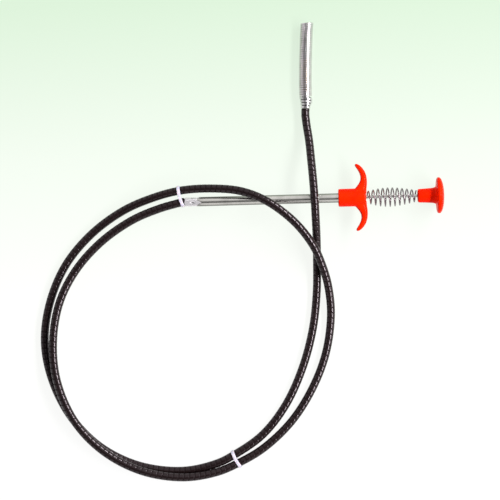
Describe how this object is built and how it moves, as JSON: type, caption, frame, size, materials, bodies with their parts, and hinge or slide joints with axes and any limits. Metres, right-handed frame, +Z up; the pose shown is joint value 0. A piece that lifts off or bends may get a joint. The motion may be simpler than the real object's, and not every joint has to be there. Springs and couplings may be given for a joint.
{
  "type": "drain auger",
  "caption": "Claw drain auger: a thumb plunger with a finger grip drives spring claws out of the tip of a long sheathed flexible shaft, which lies in a loose tied coil.",
  "frame": {"origin": "under the middle of the handle (button face to the shaft's exit), on the surface that the tool lies on", "axes": "+X along the handle towards the thumb button, +Y along the finger grip's wings, +Z up"},
  "size_m": [0.3145, 0.3525, 0.028],
  "materials": {
    "orange_plastic": "smooth glossy moulding",
    "polished_steel": "bright drawn steel with fine lengthwise marks",
    "spring_steel": "bright drawn wire",
    "cable_steel": "twisted steel strand",
    "brass": "plain turned brass",
    "black_sheath": "ribbed satin PVC sheath",
    "white_tie": "matt white band"
  },
  "bodies": {
    "handle": {"guide_tube": "polished_steel", "finger_grip": "orange_plastic", "rod_bush": "brass", "return_spring": "spring_steel", "outer_sheath": "black_sheath", "conduit_spring": "spring_steel", "core_cable": "cable_steel", "head_ferrule": "polished_steel", "tip_spring": "spring_steel", "tie_upper": "white_tie", "tie_lower": "white_tie"},
    "plunger": {"thumb_button": "orange_plastic", "push_rod": "polished_steel", "rod_sleeve": "brass"},
    "claw_carrier": {"claw_collar": "brass"},
    "claw_one": {"claw_1": "spring_steel"},
    "claw_two": {"claw_2": "spring_steel"},
    "claw_three": {"claw_3": "spring_steel"},
    "claw_four": {"claw_4": "spring_steel"}
  },
  "joints": [
    {"name": "plunger_press", "type": "slide", "parent": "handle", "child": "plunger", "axis": [-1, 0, 0], "range_m": [0, 0.025], "stiffness_N_per_m": 300, "springref_m": -0.01, "deforming": ["return_spring"]},
    {"name": "claw_slide", "type": "slide", "parent": "handle", "child": "claw_carrier", "axis": [0.0454, 0.999, 0], "range_m": [0, 0.025]},
    {"name": "claw_one_spread", "type": "hinge", "parent": "claw_carrier", "child": "claw_one", "pos_m": [-0.00373, 0.10859, 0.00581], "axis": [0.7064, -0.0321, 0.7071], "range_deg": [0, 16.63]},
    {"name": "claw_two_spread", "type": "hinge", "parent": "claw_carrier", "child": "claw_two", "pos_m": [-0.00232, 0.10852, 0.00581], "axis": [0.7064, -0.0321, -0.7071], "range_deg": [0, 16.63]},
    {"name": "claw_three_spread", "type": "hinge", "parent": "claw_carrier", "child": "claw_three", "pos_m": [-0.00232, 0.10852, 0.00439], "axis": [-0.7064, 0.0321, -0.7071], "range_deg": [0, 16.63]},
    {"name": "claw_four_spread", "type": "hinge", "parent": "claw_carrier", "child": "claw_four", "pos_m": [-0.00373, 0.10859, 0.00439], "axis": [-0.7064, 0.0321, 0.7071], "range_deg": [0, 16.63]}
  ],
  "couplings": [
    {"joint": "claw_slide", "follows": "plunger_press", "ratio": 1},
    {"joint": "claw_one_spread", "follows": "plunger_press", "rad_per_m": 11.6},
    {"joint": "claw_two_spread", "follows": "plunger_press", "rad_per_m": 11.6},
    {"joint": "claw_three_spread", "follows": "plunger_press", "rad_per_m": 11.6},
    {"joint": "claw_four_spread", "follows": "plunger_press", "rad_per_m": 11.6}
  ]
}
